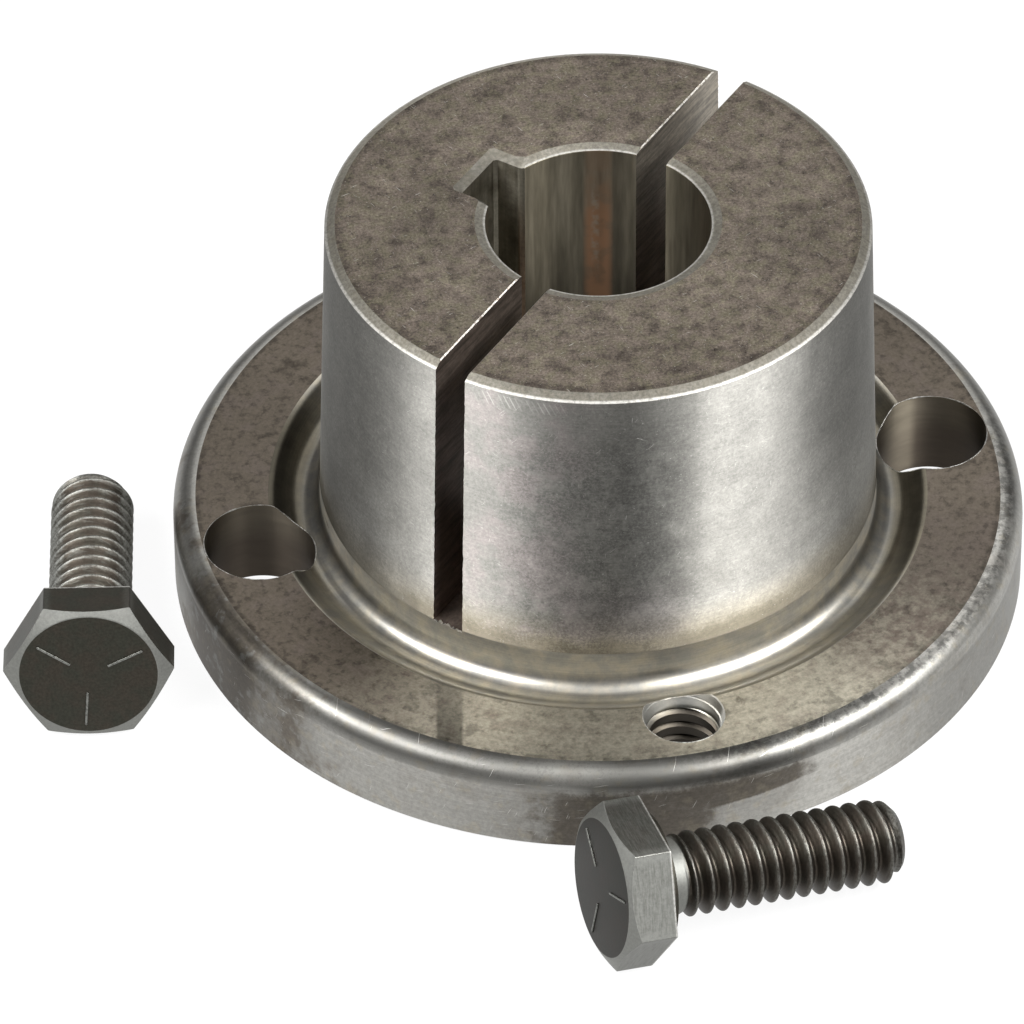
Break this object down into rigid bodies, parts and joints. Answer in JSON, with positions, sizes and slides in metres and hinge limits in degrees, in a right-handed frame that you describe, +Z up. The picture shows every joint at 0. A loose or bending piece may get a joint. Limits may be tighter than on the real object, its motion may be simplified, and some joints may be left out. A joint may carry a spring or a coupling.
{
  "type": "quick disconnect bushing",
  "caption": "Flanged split taper bushing with a keyed bore, clearance and tapped holes through its flange, and its hexagon cap screws lying beside it.",
  "frame": {"origin": "on the bore's axis, in the plane of the flange's back face, which is the surface that the part stands on", "axes": "+Z up the bore from the flange to the small end of the taper, +X from the bore's axis to a clearance hole, +Y to a tapped hole"},
  "size_m": [0.0787, 0.0787, 0.033],
  "materials": {
    "turned_steel": "satin ground taper, dull turned faces",
    "dark_phosphate": "dark grey-brown phosphate coat with bright worn edges"
  },
  "bodies": {
    "root": {"bushing": "turned_steel", "cap_screw_left": "dark_phosphate", "cap_screw_right": "dark_phosphate"}
  },
  "joints": []
}
